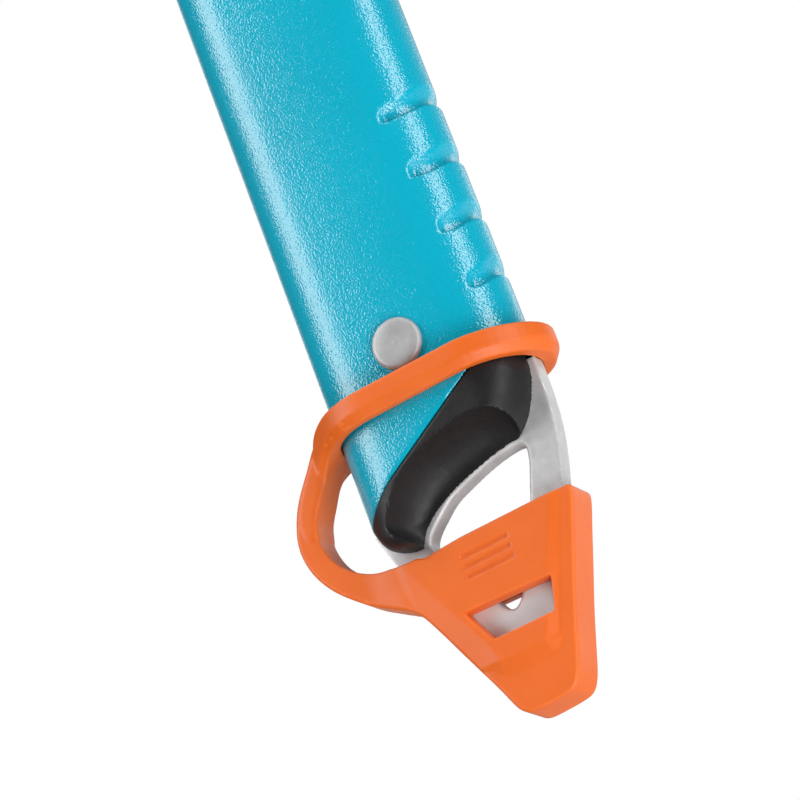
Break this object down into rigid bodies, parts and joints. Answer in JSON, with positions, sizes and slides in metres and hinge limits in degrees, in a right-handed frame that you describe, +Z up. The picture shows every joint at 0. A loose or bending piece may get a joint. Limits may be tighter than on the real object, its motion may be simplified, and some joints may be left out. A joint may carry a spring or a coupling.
{
  "type": "ice axe",
  "caption": "Mountaineering ice axe: oval tube shaft with finger notches, spike plate with karabiner eye and slide-on guard, bolted pick and adze head.",
  "frame": {"origin": "the spike point", "axes": "+Z up the lower shaft from the spike point to the head, +X forward towards the pick, Y side to side"},
  "size_m": [0.2428, 0.056, 0.5941],
  "materials": {
    "shaft_teal": "glossy pebbled powder coat",
    "spike_steel": "fine blasted satin",
    "rivet_steel": "satin",
    "black_plastic": "matte, fine grain",
    "guard_orange": "satin elastomer",
    "core_alloy": "bead blasted",
    "seal_rubber": "matte",
    "pick_steel": "fine blasted satin, ground edges",
    "cheek_black": "satin black coat",
    "bolt_steel": "zinc"
  },
  "bodies": {
    "axe": {"shaft_tube": "shaft_teal", "spike_plate": "spike_steel", "end_plug_front": "black_plastic", "end_plug_back": "black_plastic", "spike_rivet": "rivet_steel", "spike_rivet_ring": "rivet_steel", "head_core": "core_alloy", "head_seal": "seal_rubber", "pick": "pick_steel", "adze": "pick_steel", "head_cheek_front": "cheek_black", "head_cheek_back": "cheek_black", "head_bolt": "bolt_steel", "head_washer": "bolt_steel", "head_nut": "bolt_steel", "adze_rivet_upper": "rivet_steel", "adze_rivet_lower": "rivet_steel", "head_pin_upper": "rivet_steel", "head_pin_lower": "rivet_steel"},
    "guard": {"spike_guard": "guard_orange"}
  },
  "joints": [
    {"name": "guard_slide", "type": "slide", "parent": "axe", "child": "guard", "axis": [0, 0, -1], "range_m": [0, 0.07]}
  ]
}
